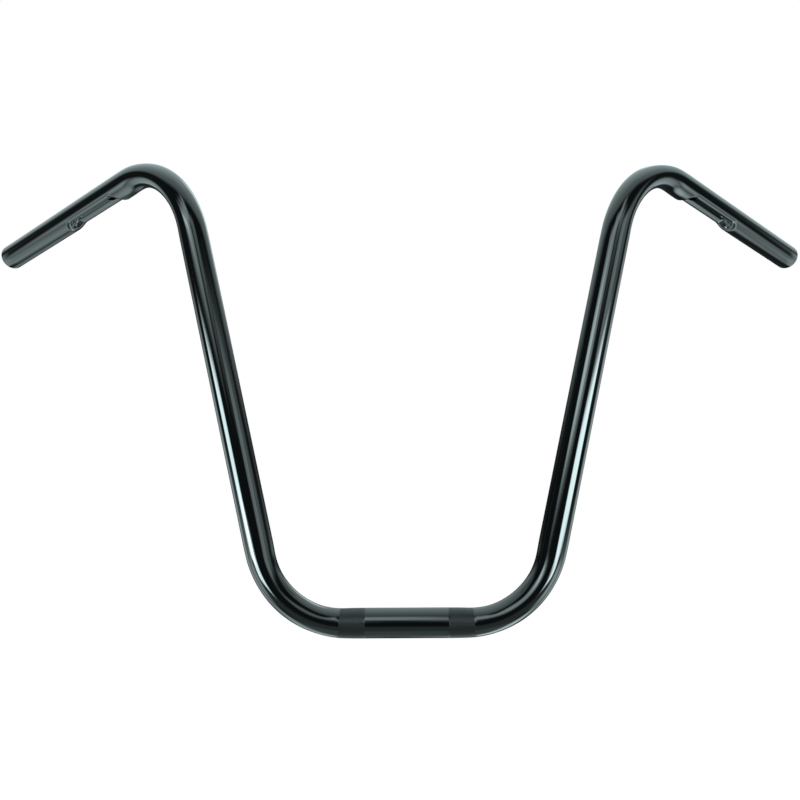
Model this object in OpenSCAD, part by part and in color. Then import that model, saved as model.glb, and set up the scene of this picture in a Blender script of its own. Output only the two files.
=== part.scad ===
// Ape hanger handlebar: one bent steel tube, shown as it stands when clamped.
// Origin at the middle of the clamp section, X along the bar, Z up, Y towards the rider.
// Millimetres and degrees.

/* [Tube] */
// outside diameter of the tube
tube_d = 25.4; // [25:0.1:27]
// thickness of the tube's wall
tube_wall = 2.4; // [1.8:0.1:3]
// rounding of the outer edge of the two open rims
rim_round = 1; // [0.4:0.1:1.4]

/* [Bends] */
// radius of every bend, to the middle of the tube
bend_r = 74; // [60:1:90]
// turn of each lower bend in degrees, from the clamp section up into the riser
lower_turn = 77.5; // [70:0.5:88]
// turn of each upper bend in degrees, from the riser out into the grip
upper_turn = 88.9; // [80:0.1:96]
// turn of the upper bend about the riser in degrees, from straight outboard towards the rider
sweep_turn = 42.3; // [20:0.1:60]
// how much the drawn wall loses in a bend, on its outside and on its inside
bend_thinning = 0.3; // [0.25:0.05:0.4]
// length of the taper from the full wall to the drawn wall, at each end of a straight
taper_l = 4; // [3:0.5:8]

/* [Straights] */
// straight middle length between the two lower bends
centre_l = 104.4; // [100:0.1:140]
// straight length of each riser between its bends
riser_l = 290.5; // [200:0.5:360]
// length of each grip, from the end of the upper bend to the rim
grip_l = 235.3; // [200:0.1:260]

/* [Wiring recess] */
// start of the pressed recess, measured along the grip from the upper bend
recess_start = 20; // [12:1:30]
// length of the pressed recess along the grip
recess_l = 86; // [60:1:90]
// width of the pressed recess at the tube's surface
recess_w = 16.7; // [14:0.1:18]
// depth of the pressed recess at its middle
recess_depth = 9; // [5:0.1:9.5]
// turn of the recess round the grip in degrees, from the inner side of the upper bend
recess_turn = 3; // [-20:1:20]
// start of the wiring slot, measured along the grip from the upper bend
slot_start = 25; // [22:1:30]
// length of the wiring slot along the grip
slot_l = 17; // [12:1:24]
// width of the wiring slot
slot_w = 9; // [7:0.5:10]

/* [Hidden] */
$fn = 96;
tube_r = tube_d / 2;
bore_r = tube_r - tube_wall;
past_wall = 1;
lap_l = 1;
lap_turn = 180 * lap_l / (PI * bend_r);
lap_thinning = bend_thinning * (taper_l + lap_l) / taper_l;
recess_edge = sqrt(pow(tube_r, 2) - pow(recess_w / 2, 2));
recess_floor = tube_r - recess_depth;
recess_h = (pow(tube_r, 2) - pow(recess_floor, 2)) / (2 * (recess_edge - recess_floor));
recess_r = recess_h - recess_floor;
recess_reach = sqrt(pow(recess_r, 2) - pow(recess_h - tube_r, 2));
recess_run = recess_l - 2 * recess_reach;

// Each of these stands its children at a station of the right arm:
// the tube runs along their Z, and the next bend turns towards their X.
module at_lower_bend() {
  translate([centre_l / 2, 0, 0])
    rotate([0, -90, 180])
      children();
}

module past_bend(turn) {
  translate([bend_r, 0, 0])
    rotate([0, turn, 0])
      translate([-bend_r, 0, 0])
        children();
}

module at_riser() {
  at_lower_bend()
    past_bend(lower_turn)
      children();
}

module at_upper_bend() {
  at_riser()
    translate([0, 0, riser_l])
      rotate([0, 0, 180 + sweep_turn])
        children();
}

module at_grip() {
  at_upper_bend()
    past_bend(upper_turn)
      children();
}

// A hollow bend of the tube, from the origin towards X.
// Each end laps a little way into the wall of the straight that it meets.
module bend(turn) {
  translate([bend_r, 0, 0])
    rotate([90, 0, 180])
      rotate([0, 0, -lap_turn])
        rotate_extrude(angle = turn + 2 * lap_turn)
          translate([bend_r, 0])
            difference() {
              circle(r = tube_r - bend_thinning);
              circle(r = bore_r + bend_thinning);
            }
}

// A hollow straight length of the tube along Z, between two bends.
module straight(l) {
  rotate_extrude()
    polygon([
      [bore_r + lap_thinning, -lap_l],
      [bore_r, taper_l],
      [bore_r, l - taper_l],
      [bore_r + lap_thinning, l + lap_l],
      [tube_r - lap_thinning, l + lap_l],
      [tube_r, l - taper_l],
      [tube_r, taper_l],
      [tube_r - lap_thinning, -lap_l]
    ]);
}

// The grip, hollow, from its tapered end to its rounded rim.
module grip_tube() {
  rotate_extrude() {
    polygon([
      [bore_r + lap_thinning, -lap_l],
      [bore_r, taper_l],
      [bore_r, grip_l],
      [tube_r - rim_round, grip_l],
      [tube_r, grip_l - rim_round],
      [tube_r, taper_l],
      [tube_r - lap_thinning, -lap_l]
    ]);
    intersection() {
      translate([tube_r - rim_round, grip_l - rim_round])
        circle(r = rim_round);
      translate([bore_r, 0])
        square([tube_wall, grip_l]);
    }
  }
}

// A long rounded body that lies along the grip over the recess.
module recess_body(r) {
  rotate([0, 0, recess_turn])
    translate([recess_h, 0, recess_start + recess_reach])
      rotate_extrude() {
        square([r, recess_run]);
        intersection() {
          circle(r = r);
          translate([0, -r])
            square([r, r]);
        }
        intersection() {
          translate([0, recess_run])
            circle(r = r);
          translate([0, recess_run])
            square([r, r]);
        }
      }
}

// The wall that the pressed recess pushes into the bore.
module recess_wall() {
  intersection() {
    cylinder(h = grip_l - rim_round, r = tube_r - tube_wall / 2);
    recess_body(recess_r + tube_wall);
  }
}

// The slot through the recess floor into the tube.
module wiring_slot() {
  rotate([0, 0, recess_turn])
    translate([0, 0, slot_start + slot_w / 2])
      rotate([0, 90, 0])
        linear_extrude(height = tube_r + past_wall) {
          circle(d = slot_w);
          translate([slot_w - slot_l, 0])
            circle(d = slot_w);
          translate([slot_w - slot_l, -slot_w / 2])
            square([slot_l - slot_w, slot_w]);
        }
}

module arm() {
  at_lower_bend()
    bend(lower_turn);
  at_riser()
    straight(riser_l);
  at_upper_bend()
    bend(upper_turn);
  at_grip()
    difference() {
      union() {
        grip_tube();
        recess_wall();
      }
      recess_body(recess_r);
      wiring_slot();
    }
}

module handed(side) {
  mirror([side < 0 ? 1 : 0, 0, 0])
    children();
}

module handlebar_tube() {
  color([0.02, 0.02, 0.022]) {
    translate([-centre_l / 2, 0, 0])
      rotate([0, 90, 0])
        straight(centre_l);
    for (side = [-1, 1])
      handed(side)
        arm();
  }
}

handlebar_tube();
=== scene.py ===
import bpy
import math
import numpy as np
from mathutils import Matrix


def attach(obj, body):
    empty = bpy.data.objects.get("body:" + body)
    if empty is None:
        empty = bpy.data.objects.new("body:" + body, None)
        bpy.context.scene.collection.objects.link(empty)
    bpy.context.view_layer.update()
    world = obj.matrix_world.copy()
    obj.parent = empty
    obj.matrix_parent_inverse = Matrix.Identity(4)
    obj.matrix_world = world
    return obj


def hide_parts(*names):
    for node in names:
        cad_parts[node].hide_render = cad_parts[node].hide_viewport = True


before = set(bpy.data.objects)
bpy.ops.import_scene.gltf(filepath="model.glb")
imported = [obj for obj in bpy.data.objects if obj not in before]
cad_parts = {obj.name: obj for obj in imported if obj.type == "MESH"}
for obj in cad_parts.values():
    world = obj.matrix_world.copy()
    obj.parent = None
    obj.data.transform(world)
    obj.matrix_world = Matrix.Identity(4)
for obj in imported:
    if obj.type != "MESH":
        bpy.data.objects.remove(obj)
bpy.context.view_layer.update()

# Sizes in millimetres, as in the part's source
TUBE_R = 12.7
WALL = 2.4
BORE_R = TUBE_R - WALL
RIM_ROUND = 1.0
BEND_R = 74.0
LOWER_TURN = math.radians(77.5)
UPPER_TURN = math.radians(88.9)
SWEEP_TURN = math.radians(42.3)
CENTRE_L = 104.4
RISER_L = 290.5
GRIP_L = 235.3
RECESS_START = 20.0
RECESS_L = 86.0
RECESS_W = 16.7
RECESS_DEPTH = 9.0
RECESS_TURN = math.radians(3.0)
SLOT_START = 25.0
SLOT_L = 17.0
SLOT_W = 9.0

# The recess body: a capsule along the grip, and the z of its two centres from the grip's start
RECESS_FLOOR = TUBE_R - RECESS_DEPTH
RECESS_EDGE = math.sqrt(TUBE_R**2 - (RECESS_W / 2) ** 2)
RECESS_H = (TUBE_R**2 - RECESS_FLOOR**2) / (2 * (RECESS_EDGE - RECESS_FLOOR))
RECESS_R = RECESS_H - RECESS_FLOOR
RECESS_REACH = math.sqrt(RECESS_R**2 - (RECESS_H - TUBE_R) ** 2)
RECESS_LOW = RECESS_START + RECESS_REACH
RECESS_HIGH = RECESS_START + RECESS_L - RECESS_REACH

# Rolled edge of the recess outside and in the bore, how far past its ends it may reach, and
# the cosines between tube and recess body within which the edge stays rolled by a ball
SHOULDER = 4.0
INNER_SHOULDER = 1.0
SHOULDER_PAST = 9.0
LEAN_LIMITS = (-0.6, 0.3)

# Drawn section of each bend: flatter in the plane of the bend, a little wider across it.
# It fades in and out over BEND_FADE, of which FADE_OUTSIDE lies on the straight
BEND_SECTIONS = (("lower", 1.0, 0.15), ("upper", 1.8, 0.2))
BEND_FADE = 40.0
FADE_OUTSIDE = 12.0

# Points of a ring, and the share of them that crowds over the recess from the upper bend on
RING_POINTS = 128
RECESS_POINTS = 76
RECESS_SPAN = math.radians(76)
CROWD_START = 30.0
CROWD_LENGTH = 60.0
SECTION_SAMPLES = 700
HALVINGS = 30

# Diamond knurl: every ring point is a ridge or a groove, and rows stand half a pitch apart
KNURL_SPACING = 93.0
KNURL_RAISE = 0.02
KNURL_DEPTH = 0.13
KNURL_ROWS = 36
KNURL_PITCH = 2 * math.pi * TUBE_R / (RING_POINTS / 2)
KNURL_LOW = KNURL_SPACING / 2 - KNURL_ROWS * KNURL_PITCH / 4
KNURL_HIGH = KNURL_LOW + KNURL_ROWS * KNURL_PITCH / 2
KNURL_LIP = 0.3

# Small parts of the mesh
RIM_STEPS = 6
MOUTH_CHAMFER = 0.5
CUTTER_POINTS = 48
CUTTER_BELOW = 2
CUTTER_PAST = 3
SHARP_ANGLE = math.radians(34)
NEAR = 1e-9
MM_PER_METRE = 1000.0


def smooth(t):
    """A smooth rise from 0 to 1."""
    t = np.clip(t, 0.0, 1.0)
    return t * t * (3 - 2 * t)


def turn_about(axis, angle):
    """The matrix of a turn about a unit axis."""
    x, y, z = axis
    k = np.array([[0, -z, y], [z, 0, -x], [-y, x, 0]])
    return np.eye(3) + math.sin(angle) * k + (1 - math.cos(angle)) * k @ k


class Path:
    """The right arm's centreline, from the bar's middle to the rim: straights and bends in a chain.

    A bend turns towards the first of its axes, and the third points along the tube.
    """

    def __init__(self):
        self.legs = []
        self.length = 0.0
        self.place = np.zeros(3)
        self.axes = np.array([[0.0, 0, 1], [0, -1.0, 0], [1.0, 0, 0]]).T
        self.straight("centre", CENTRE_L / 2)
        self.bend("lower", LOWER_TURN)
        self.straight("riser", RISER_L)
        self.axes = self.axes @ turn_about((0, 0, 1), math.pi + SWEEP_TURN)
        self.bend("upper", UPPER_TURN)
        self.straight("grip", GRIP_L)

    def straight(self, name, length):
        self.legs.append((name, self.length, length, 0.0, self.place.copy(), self.axes.copy()))
        self.place = self.place + self.axes[:, 2] * length
        self.length += length

    def bend(self, name, turn):
        length = BEND_R * turn
        self.legs.append((name, self.length, length, turn, self.place.copy(), self.axes.copy()))
        self.place, self.axes = self.along(self.legs[-1], length)
        self.length += length

    @staticmethod
    def along(leg, s):
        """Place and axes at s from the leg's own start."""
        name, start, length, turn, place, axes = leg
        if not turn:
            return place + axes[:, 2] * s, axes
        centre = place + axes[:, 0] * BEND_R
        spun = turn_about((0, 1, 0), s / BEND_R)
        return centre - axes @ spun @ np.array([BEND_R, 0, 0]), axes @ spun

    def at(self, s):
        """Place and axes at s from the bar's middle; a joint of two legs belongs to the first."""
        for leg in self.legs:
            if s <= leg[1] + leg[2] + NEAR:
                return self.along(leg, s - leg[1])
        return self.along(self.legs[-1], s - self.legs[-1][1])

    def span_of(self, name):
        """Where a leg starts and ends."""
        leg = next(leg for leg in self.legs if leg[0] == name)
        return leg[1], leg[1] + leg[2]


path = Path()
GRIP_S = path.span_of("grip")[0]
UPPER_S = path.span_of("upper")[0]


def fade_at(s, name):
    """How fully a bend's drawn section shows at s: 0 on the straights, 1 inside the bend."""
    low, high = path.span_of(name)
    return smooth((s - low + FADE_OUTSIDE) / BEND_FADE) * smooth((high - s + FADE_OUTSIDE) / BEND_FADE)


def ring_angles(s):
    """Angles of a ring's points in the grip's own axes; most of them lie over the recess."""
    crowd = smooth((s - UPPER_S - CROWD_START) / CROWD_LENGTH)
    j = np.arange(RING_POINTS)
    low = (RING_POINTS - RECESS_POINTS) // 2
    even = -math.pi + 2 * math.pi * j / RING_POINTS
    corners = (0, low, RING_POINTS - low, RING_POINTS)
    crowded = np.interp(j, corners, (-math.pi, -RECESS_SPAN, RECESS_SPAN, math.pi))
    return RECESS_TURN + (1 - crowd) * even + crowd * crowded


def hollowed(base, capsule_r, rounding, z, side):
    """Distance from the tube's axis to a round surface with the recess body pressed into it.

    side is the angle from the middle of the recess; the edge between the two is rolled over
    by a ball of the radius rounding. lean is the cosine between the two surfaces' directions.
    """
    dz = np.maximum(np.maximum(RECESS_LOW - z, z - RECESS_HIGH), 0.0)
    low = np.full_like(side, 0.5)
    high = np.full_like(side, base)

    def outside_of_metal(r):
        x = r * np.cos(side) - RECESS_H
        y = r * np.sin(side)
        away = np.sqrt(x * x + y * y + dz * dz)
        to_tube = r - base
        to_body = capsule_r - away
        lean = np.clip(-(x * np.cos(side) + y * np.sin(side)) / away, *LEAN_LIMITS)
        u = to_tube + rounding
        v = to_body + rounding
        squared = np.maximum(u * u + v * v - 2 * lean * u * v, 0)
        rolled = np.sqrt(squared / (1 - lean * lean)) - rounding
        between = (u - lean * v > 0) & (v - lean * u > 0)
        return np.where(between, rolled, np.maximum(to_tube, to_body))

    for _ in range(HALVINGS):
        mid = (low + high) / 2
        out = outside_of_metal(mid) > 0
        high = np.where(out, mid, high)
        low = np.where(out, low, mid)
    return (low + high) / 2


def pressed_section(base, capsule_r, rounding, z):
    """Angles and radii over the recess, at even steps along the section's own length."""
    side = np.linspace(-RECESS_SPAN, RECESS_SPAN, SECTION_SAMPLES)
    radii = hollowed(base, capsule_r, rounding, z, side)
    x, y = radii * np.cos(side), radii * np.sin(side)
    run = np.concatenate(([0], np.cumsum(np.hypot(np.diff(x), np.diff(y)))))
    steps = np.linspace(0, run[-1], RECESS_POINTS + 1)
    return np.interp(steps, run, side), np.interp(steps, run, radii)


def section(s, base, capsule_r, rounding):
    """Radii of a ring's points at s, and their angles in the leg's own axes."""
    angles = ring_angles(s)
    local = angles + math.pi + SWEEP_TURN if s <= UPPER_S + NEAR else angles
    radii = np.full(RING_POINTS, base)
    for name, flat, wide in BEND_SECTIONS:
        fade = fade_at(s, name)
        if fade > 0:
            a = base - flat * fade
            b = base + wide * fade
            in_bend = angles if name == "upper" else local
            radii = a * b / np.sqrt((b * np.cos(in_bend)) ** 2 + (a * np.sin(in_bend)) ** 2)
    z = s - GRIP_S
    if RECESS_START - SHOULDER_PAST < z < RECESS_START + RECESS_L + SHOULDER_PAST:
        side, pressed = pressed_section(base, capsule_r, rounding, z)
        low = (RING_POINTS - RECESS_POINTS) // 2
        over = slice(low, low + RECESS_POINTS + 1)
        radii[over] = np.minimum(radii[over], pressed)
        local = local.copy()
        local[over] = side + RECESS_TURN
    return radii, local


def outer_section(s):
    return section(s, TUBE_R, RECESS_R, SHOULDER)


def inner_section(s):
    return section(s, BORE_R, RECESS_R + WALL, INNER_SHOULDER)


def ring(s, radii, local):
    """A ring's points in millimetres."""
    place, axes = path.at(s)
    return (
        place
        + np.outer(radii * np.cos(local), axes[:, 0])
        + np.outer(radii * np.sin(local), axes[:, 1])
    )


def spread(low, high, longest):
    """Even places from low to short of high, no further apart than longest."""
    count = max(1, int(math.ceil((high - low) / longest)))
    return list(np.linspace(low, high, count, endpoint=False))


def stretches(start, *ends_and_steps):
    """Places from start on, one stretch after another, each with its end and its longest step."""
    places = []
    for end, longest in ends_and_steps:
        places += spread(start, end, longest)
        start = end
    return places


def outer_stations():
    """Where the right arm's rings stand along its centreline, with the knurl row of each, or None."""
    lower = path.span_of("lower")
    upper = path.span_of("upper")
    tail = FADE_OUTSIDE + 2
    recess = GRIP_S + RECESS_START
    recess_end = recess + RECESS_L
    slot = GRIP_S + SLOT_START
    centre = spread(0, KNURL_LOW - KNURL_LIP, 9) + [KNURL_LOW - KNURL_LIP]
    rows = [(KNURL_LOW + i * KNURL_PITCH / 2, i) for i in range(KNURL_ROWS)]
    # Each stretch has its end and its longest step; the steepest walls have the finest one
    plain = stretches(
        KNURL_HIGH,
        (lower[1] + tail, 3.2),
        (upper[0] - tail, 26),
        (upper[1] + 6, 3.2),
        (recess - 5, 1.5),
        (recess - 1, 0.5),
        (recess + 2.5, 0.16),
        (recess + 8, 0.45),
        (slot + SLOT_L + 2, 1.2),
        (recess_end - 11, 3.5),
        (recess_end - 2.5, 0.5),
        (recess_end + 1.5, 0.16),
        (recess_end + 5, 0.5),
        (path.length - RIM_ROUND, 20),
    )
    return [(s, None) for s in centre] + rows + [(s, None) for s in plain]


def outer_rings():
    """The outside's rings from the bar's middle to the rim, and the knurl row of each."""
    rings = []
    rows = []
    for s, row in outer_stations():
        radii, local = outer_section(s)
        if row is not None and 0 < row < KNURL_ROWS:
            ridge = (np.arange(RING_POINTS) + row) % 2 == 1
            radii = radii + np.where(ridge, KNURL_RAISE, -KNURL_DEPTH)
        rings.append(ring(s, radii, local))
        rows.append(row)
    mouth = outer_section(path.length)[1]
    for k in range(RIM_STEPS + 1):
        a = math.pi / 2 * k / RIM_STEPS
        radii = np.full(RING_POINTS, TUBE_R - RIM_ROUND + RIM_ROUND * math.cos(a))
        rings.append(ring(path.length - RIM_ROUND + RIM_ROUND * math.sin(a), radii, mouth))
        rows.append(None)
    return rings, rows


def inner_rings():
    """The bore's rings, from the rim back to the bar's middle."""
    lower = path.span_of("lower")
    upper = path.span_of("upper")
    recess = GRIP_S + RECESS_START
    recess_end = recess + RECESS_L
    slot = GRIP_S + SLOT_START
    stations = stretches(
        0,
        (lower[0], 40),
        (lower[1], 9),
        (upper[0], 120),
        (upper[1], 9),
        (recess - 8, 8),
        (recess + 8, 0.8),
        (slot + SLOT_L + 2, 1.6),
        (recess_end - 11, 5),
        (recess_end + 6, 0.8),
        (path.length - MOUTH_CHAMFER, 30),
    )
    stations.append(path.length - MOUTH_CHAMFER)
    rings = [ring(s, *inner_section(s)) for s in stations]
    mouth = outer_section(path.length)[1]
    rings.append(ring(path.length, np.full(RING_POINTS, BORE_R + MOUTH_CHAMFER), mouth))
    return rings[::-1]


def skin_faces(marks, middle):
    """Quads between rings, with triangles along the ridges of the knurl, and each face's paint.

    marks holds each ring's knurl row or None, and the rows run outwards from the middle.
    """
    faces = []
    paints = []
    total = len(marks)
    for i in range(total):
        k = (i + 1) % total
        here, there = marks[i], marks[k]
        plain = here is None and there is None
        knurled = here is not None and there is not None
        outwards = 1 if i >= middle else -1
        row = there - outwards if here is None and not plain else here
        for j in range(RING_POINTS):
            m = (j + 1) % RING_POINTS
            p, q = i * RING_POINTS + j, i * RING_POINTS + m
            t, r = k * RING_POINTS + j, k * RING_POINTS + m
            if plain:
                faces.append((p, q, r, t))
            elif (j + row) % 2 == 0:
                faces += [(p, r, t), (p, q, r)]
            else:
                faces += [(p, q, t), (t, q, r)]
            paints += [int(knurled)] * (1 if plain else 2)
    return faces, paints


def tube_mesh(materials):
    """One closed skin: outside from rim to rim, then back along the bore."""
    outer, rows = outer_rings()
    inner = inner_rings()
    flip = np.array([-1.0, 1, 1])
    left_outer = [r * flip for r in outer[:0:-1]]
    left_inner = [r * flip for r in inner[-2::-1]]
    rings = left_outer + outer + inner + left_inner
    middle = len(left_outer)
    marks = [None] * len(rings)
    for i, row in enumerate(rows):
        marks[middle + i] = row
        marks[middle - i] = row
    faces, paints = skin_faces(marks, middle)
    mesh = bpy.data.meshes.new("handlebar_tube")
    mesh.from_pydata([tuple(v) for v in np.concatenate(rings) / MM_PER_METRE], [], faces)
    for material in materials:
        mesh.materials.append(material)
    mesh.polygons.foreach_set("material_index", paints)
    mesh.update()
    return mesh


def link(obj):
    """Puts an object into the scene."""
    bpy.context.scene.collection.objects.link(obj)
    return obj


def slot_cutter(side):
    """A tall block with rounded ends, standing through the recess floor; side 1 is the right."""
    place, axes = path.at(GRIP_S + SLOT_START + SLOT_L / 2)
    towards_recess = math.cos(RECESS_TURN) * axes[:, 0] + math.sin(RECESS_TURN) * axes[:, 1]
    across = -math.sin(RECESS_TURN) * axes[:, 0] + math.cos(RECESS_TURN) * axes[:, 1]
    half = (SLOT_L - SLOT_W) / 2
    outline = []
    for k in range(CUTTER_POINTS):
        a = 2 * math.pi * (k + 0.5) / CUTTER_POINTS
        shift = half if math.cos(a) > 0 else -half
        outline.append(axes[:, 2] * (math.cos(a) * SLOT_W / 2 + shift) + across * math.sin(a) * SLOT_W / 2)
    verts = []
    flip = np.array([side, 1, 1])
    for level in (-CUTTER_BELOW, TUBE_R + CUTTER_PAST):
        centre = place + towards_recess * level
        verts += [(centre + o) * flip / MM_PER_METRE for o in outline]
    count = CUTTER_POINTS
    faces = [tuple(range(count))[::-1], tuple(range(count, 2 * count))]
    faces += [(k, (k + 1) % count, count + (k + 1) % count, count + k) for k in range(count)]
    if side > 0:
        faces = [f[::-1] for f in faces]
    mesh = bpy.data.meshes.new("slot_cutter")
    mesh.from_pydata([tuple(v) for v in verts], [], faces)
    mesh.update()
    return link(bpy.data.objects.new("slot_cutter", mesh))


def build_tube():
    """The whole bar, with both slots cut into its skin."""
    materials = [
        paint_material("gloss_black_paint", coat=1.0, coat_roughness=0.025, roughness=0.07),
        paint_material("knurl_paint", coat=0.3, coat_roughness=0.16, roughness=0.36),
    ]
    tube = link(bpy.data.objects.new("bent_tube", tube_mesh(materials)))
    for side in (1, -1):
        cutter = slot_cutter(side)
        cut = tube.modifiers.new("slot", "BOOLEAN")
        cut.operation = "DIFFERENCE"
        cut.solver = "MANIFOLD"
        cut.object = cutter
        depsgraph = bpy.context.evaluated_depsgraph_get()
        baked = bpy.data.meshes.new_from_object(tube.evaluated_get(depsgraph))
        tube.modifiers.clear()
        tube.data = baked
        bpy.data.objects.remove(cutter)
    mesh = tube.data
    mesh.name = "bent_tube"
    while len(mesh.materials) > len(materials):
        mesh.materials.pop()
    mesh.shade_smooth()
    mesh.set_sharp_from_angle(angle=SHARP_ANGLE)
    return tube


def nodes_of(tree):
    """An emptied node tree's nodes and links."""
    tree.nodes.clear()
    return tree.nodes, tree.links


def number(nodes, links, kind, *values):
    """One math node; a value may be a socket or a number."""
    node = nodes.new("ShaderNodeMath")
    node.operation = kind
    for socket, value in zip(node.inputs, values):
        if isinstance(value, (int, float)):
            socket.default_value = value
        else:
            links.new(value, socket)
    return node.outputs[0]


def step(nodes, links, value, start, end):
    """A smooth rise from 0 to 1 as the value goes from start to end."""
    node = nodes.new("ShaderNodeMapRange")
    node.interpolation_type = "SMOOTHSTEP"
    node.inputs["From Min"].default_value = start
    node.inputs["From Max"].default_value = end
    links.new(value, node.inputs["Value"])
    return node.outputs["Result"]


def window(nodes, links, value, low, high, soft):
    """1 between low and high, with soft edges."""
    rise = step(nodes, links, value, low - soft, low + soft)
    fall = step(nodes, links, value, high - soft, high + soft)
    return number(nodes, links, "SUBTRACT", rise, fall)


# Black paint under a clear coat; the peel is its faint waviness, PEEL_HEIGHT metres high
PAINT_COLOUR = (0.0012, 0.0014, 0.0014, 1)
PAINT_IOR = 1.5
COAT_IOR = 1.62
PEEL_SCALE = 420
PEEL_DETAIL = 2
PEEL_STRENGTH = 0.05
PEEL_HEIGHT = 0.0002


def paint_material(name, coat, coat_roughness, roughness):
    """Black paint: a dark base under a clear coat, with a faint orange peel."""
    mat = bpy.data.materials.new(name)
    mat.use_nodes = True
    nodes, links = nodes_of(mat.node_tree)
    out = nodes.new("ShaderNodeOutputMaterial")
    paint = nodes.new("ShaderNodeBsdfPrincipled")
    links.new(paint.outputs["BSDF"], out.inputs["Surface"])
    paint.inputs["Base Color"].default_value = PAINT_COLOUR
    paint.inputs["Roughness"].default_value = roughness
    paint.inputs["IOR"].default_value = PAINT_IOR
    paint.inputs["Coat Weight"].default_value = coat
    paint.inputs["Coat Roughness"].default_value = coat_roughness
    paint.inputs["Coat IOR"].default_value = COAT_IOR
    place = nodes.new("ShaderNodeTexCoord")
    peel = nodes.new("ShaderNodeTexNoise")
    peel.inputs["Scale"].default_value = PEEL_SCALE
    peel.inputs["Detail"].default_value = PEEL_DETAIL
    links.new(place.outputs["Object"], peel.inputs["Vector"])
    bump = nodes.new("ShaderNodeBump")
    bump.inputs["Strength"].default_value = PEEL_STRENGTH
    bump.inputs["Distance"].default_value = PEEL_HEIGHT
    links.new(peel.outputs["Fac"], bump.inputs["Height"])
    links.new(bump.outputs["Normal"], paint.inputs["Coat Normal"])
    return mat


# Soft boxes round the bar. Azimuth is 0 towards the camera and grows towards +X.
# Azimuth low and high, elevation low and high, softness of the two, and strength
SOFT_BOXES = (
    (-74, -44, -14, 0, 4, 3, 8.6),
    (-60, -33, -25, -9, 4, 3, 8.6),
    (26, 66, -11, 1, 4, 3, 9.2),
    (34, 53, -22, -11, 4, 3, 8.6),
    (-43, -5, 9, 29, 6, 5, 1.6),
    (-42, -20, 13, 21, 4, 4, 2.6),
    (-27, 5, 27, 42, 7, 6, 1.6),
    (-10, 6, 40, 55, 5, 5, 1.3),
    (4, 24, 15, 36, 6, 7, 0.8),
    (29, 54, 2, 20, 5, 5, 1.2),
    (51, 81, 1, 22, 9, 8, 0.65),
    (-138, -105, -39, 3, 6, 9, 0.95),
    (-173, -158, -34, -8, 6, 6, 0.3),
    (105, 140, -39, 8, 6, 8, 0.9),
    (-99, -73, -40, -14, 9, 8, 1.6),
    (69, 99, -43, -17, 9, 8, 2.0),
    (-173, -92, -63, -42, 11, 9, 1.25),
    (94, 170, -63, -45, 12, 8, 2.2),
    (151, 169, 19, 50, 6, 6, 0.9),
    (-63, 66, -67, -23, 12, 9, 0.17),
    (-400, 400, -120, -61, 8, 10, 0.3),
)

# The canopy's edge stands at this elevation in front and sinks towards the back on each side:
# azimuths where the sinking starts and ends, and how far it goes, in degrees
CANOPY_EDGE = 58.0
SINK_LEFT = (15, 137, 40.6)
SINK_RIGHT = (33, 126, 41.5)
# Degrees above the edge where the light starts and is full, and its strength
EDGE_LIGHT = (-7, 11, 0.6)
CROWN_LIGHT = (10, 58, 0.3)
ROOM_LIGHT = 0.03
STUDIO_TINT = (0.80, 1.0, 1.02, 1)
PAPER_WHITE = (1, 1, 1, 1)


def light_world():
    """The studio by direction, which the bar mirrors; the camera sees white paper instead."""
    world = bpy.data.worlds.new("studio")
    bpy.context.scene.world = world
    world.use_nodes = True
    nodes, links = nodes_of(world.node_tree)

    def degrees(radians):
        return number(nodes, links, "MULTIPLY", radians, 180 / math.pi)

    def rise(value, start, end, strength):
        return number(nodes, links, "MULTIPLY", step(nodes, links, value, start, end), strength)

    place = nodes.new("ShaderNodeTexCoord")
    split = nodes.new("ShaderNodeSeparateXYZ")
    links.new(place.outputs["Generated"], split.inputs[0])
    forward = number(nodes, links, "MULTIPLY", split.outputs["Y"], -1.0)
    azimuth = degrees(number(nodes, links, "ARCTAN2", split.outputs["X"], forward))
    elevation = degrees(number(nodes, links, "ARCSINE", split.outputs["Z"]))
    leftwards = number(nodes, links, "MULTIPLY", azimuth, -1.0)
    sunk = number(nodes, links, "ADD", rise(leftwards, *SINK_LEFT), rise(azimuth, *SINK_RIGHT))
    above = number(nodes, links, "ADD", number(nodes, links, "SUBTRACT", elevation, CANOPY_EDGE), sunk)
    canopy = number(nodes, links, "ADD", rise(above, *EDGE_LIGHT), rise(above, *CROWN_LIGHT))
    total = number(nodes, links, "ADD", canopy, ROOM_LIGHT)
    for az_low, az_high, el_low, el_high, az_soft, el_soft, strength in SOFT_BOXES:
        across = window(nodes, links, azimuth, az_low, az_high, az_soft)
        upright = window(nodes, links, elevation, el_low, el_high, el_soft)
        shape = number(nodes, links, "MULTIPLY", across, upright)
        total = number(nodes, links, "ADD", total, number(nodes, links, "MULTIPLY", shape, strength))
    studio = nodes.new("ShaderNodeBackground")
    studio.inputs["Color"].default_value = STUDIO_TINT
    links.new(total, studio.inputs["Strength"])
    paper = nodes.new("ShaderNodeBackground")
    paper.inputs["Color"].default_value = PAPER_WHITE
    paper.inputs["Strength"].default_value = 1.0
    seen = nodes.new("ShaderNodeLightPath")
    mix = nodes.new("ShaderNodeMixShader")
    out = nodes.new("ShaderNodeOutputWorld")
    links.new(seen.outputs["Is Camera Ray"], mix.inputs["Fac"])
    links.new(studio.outputs[0], mix.inputs[1])
    links.new(paper.outputs[0], mix.inputs[2])
    links.new(mix.outputs[0], out.inputs["Surface"])


# The floor lies well below the bar, which is held at its clamp section. Metres
FLOOR_Z = -0.45
FLOOR_HALF = 3.0
FLOOR_COLOUR = (0.8, 0.8, 0.8, 1)
FLOOR_GLOW = 0.62


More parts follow.
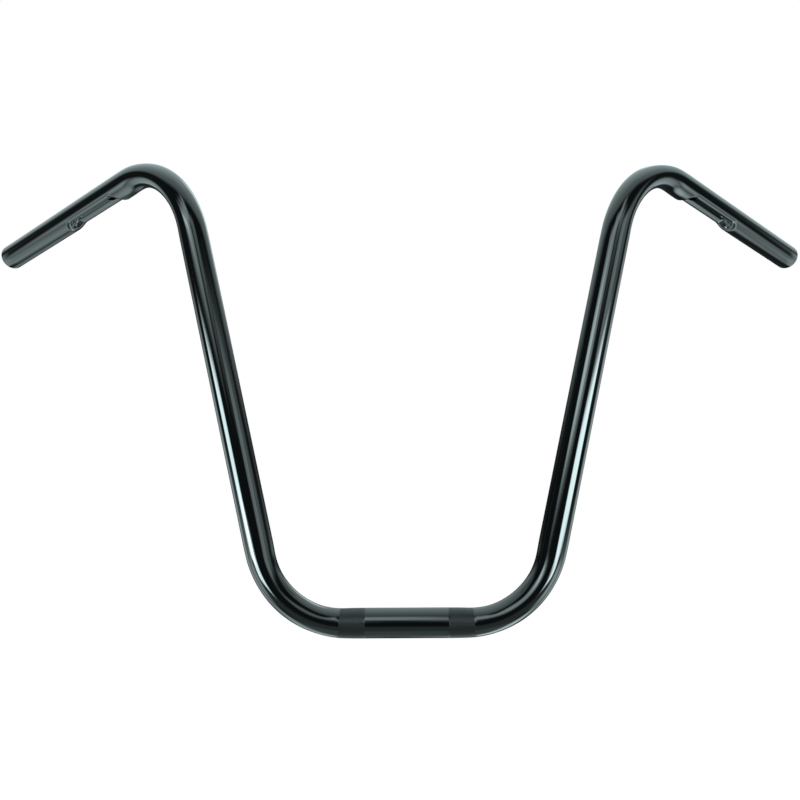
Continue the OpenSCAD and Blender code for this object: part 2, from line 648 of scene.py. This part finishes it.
def floor_material():
    """White to the camera from above, with the bar's faint shadow; other rays pass through."""
    mat = bpy.data.materials.new("floor_paper")
    mat.use_nodes = True
    nodes, links = nodes_of(mat.node_tree)
    paper = nodes.new("ShaderNodeBsdfDiffuse")
    paper.inputs["Color"].default_value = FLOOR_COLOUR
    glow = nodes.new("ShaderNodeEmission")
    glow.inputs["Strength"].default_value = FLOOR_GLOW
    both = nodes.new("ShaderNodeAddShader")
    links.new(paper.outputs[0], both.inputs[0])
    links.new(glow.outputs[0], both.inputs[1])
    clear = nodes.new("ShaderNodeBsdfTransparent")
    seen = nodes.new("ShaderNodeLightPath")
    sides = nodes.new("ShaderNodeNewGeometry")
    front = number(nodes, links, "SUBTRACT", 1.0, sides.outputs["Backfacing"])
    shown = number(nodes, links, "MULTIPLY", seen.outputs["Is Camera Ray"], front)
    mix = nodes.new("ShaderNodeMixShader")
    links.new(shown, mix.inputs["Fac"])
    links.new(clear.outputs[0], mix.inputs[1])
    links.new(both.outputs[0], mix.inputs[2])
    out = nodes.new("ShaderNodeOutputMaterial")
    links.new(mix.outputs[0], out.inputs["Surface"])
    return mat


def lay_floor():
    """A plain square sheet of paper, not part of the object."""
    half = FLOOR_HALF
    corners = [(x, y, FLOOR_Z) for x, y in ((-half, -half), (half, -half), (half, half), (-half, half))]
    mesh = bpy.data.meshes.new("floor")
    mesh.from_pydata(corners, [], [(0, 1, 2, 3)])
    mesh.materials.append(floor_material())
    link(bpy.data.objects.new("floor", mesh))


# The photographed view, fitted to the bar's outline: place in metres, turns in degrees about
# Z, X and Y, and the focal length in pixels of the square picture
CAMERA_PLACE = (-0.01551, -0.830, 0.10597)
CAMERA_TURNS = (-0.76, 5.76, 0.19)
FOCAL_PIXELS = 960.63
PICTURE_PIXELS = 800
SENSOR_MM = 36.0


def stand_camera():
    """A camera a little below the bar's middle height, looking slightly up."""
    yaw, pitch, roll = (math.radians(a) for a in CAMERA_TURNS)
    spun = turn_about((0, 0, 1), yaw) @ turn_about((1, 0, 0), pitch) @ turn_about((0, 1, 0), roll)
    camera = link(bpy.data.objects.new("camera", bpy.data.cameras.new("camera")))
    rows = [(*row, at) for row, at in zip(spun[:, (0, 2, 1)] * (1, 1, -1), CAMERA_PLACE)]
    camera.matrix_world = Matrix((*rows, (0, 0, 0, 1)))
    camera.data.sensor_fit = "HORIZONTAL"
    camera.data.sensor_width = SENSOR_MM
    camera.data.lens = SENSOR_MM * FOCAL_PIXELS / PICTURE_PIXELS
    camera.data.shift_x = -0.5 / PICTURE_PIXELS
    camera.data.shift_y = 0.5 / PICTURE_PIXELS
    camera.data.clip_start = 0.01
    camera.data.clip_end = 20
    bpy.context.scene.camera = camera


tube = build_tube()
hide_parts("handlebar_tube")
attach(tube, "root")
light_world()
lay_floor()
stand_camera()
bpy.context.scene.view_settings.view_transform = "Standard"
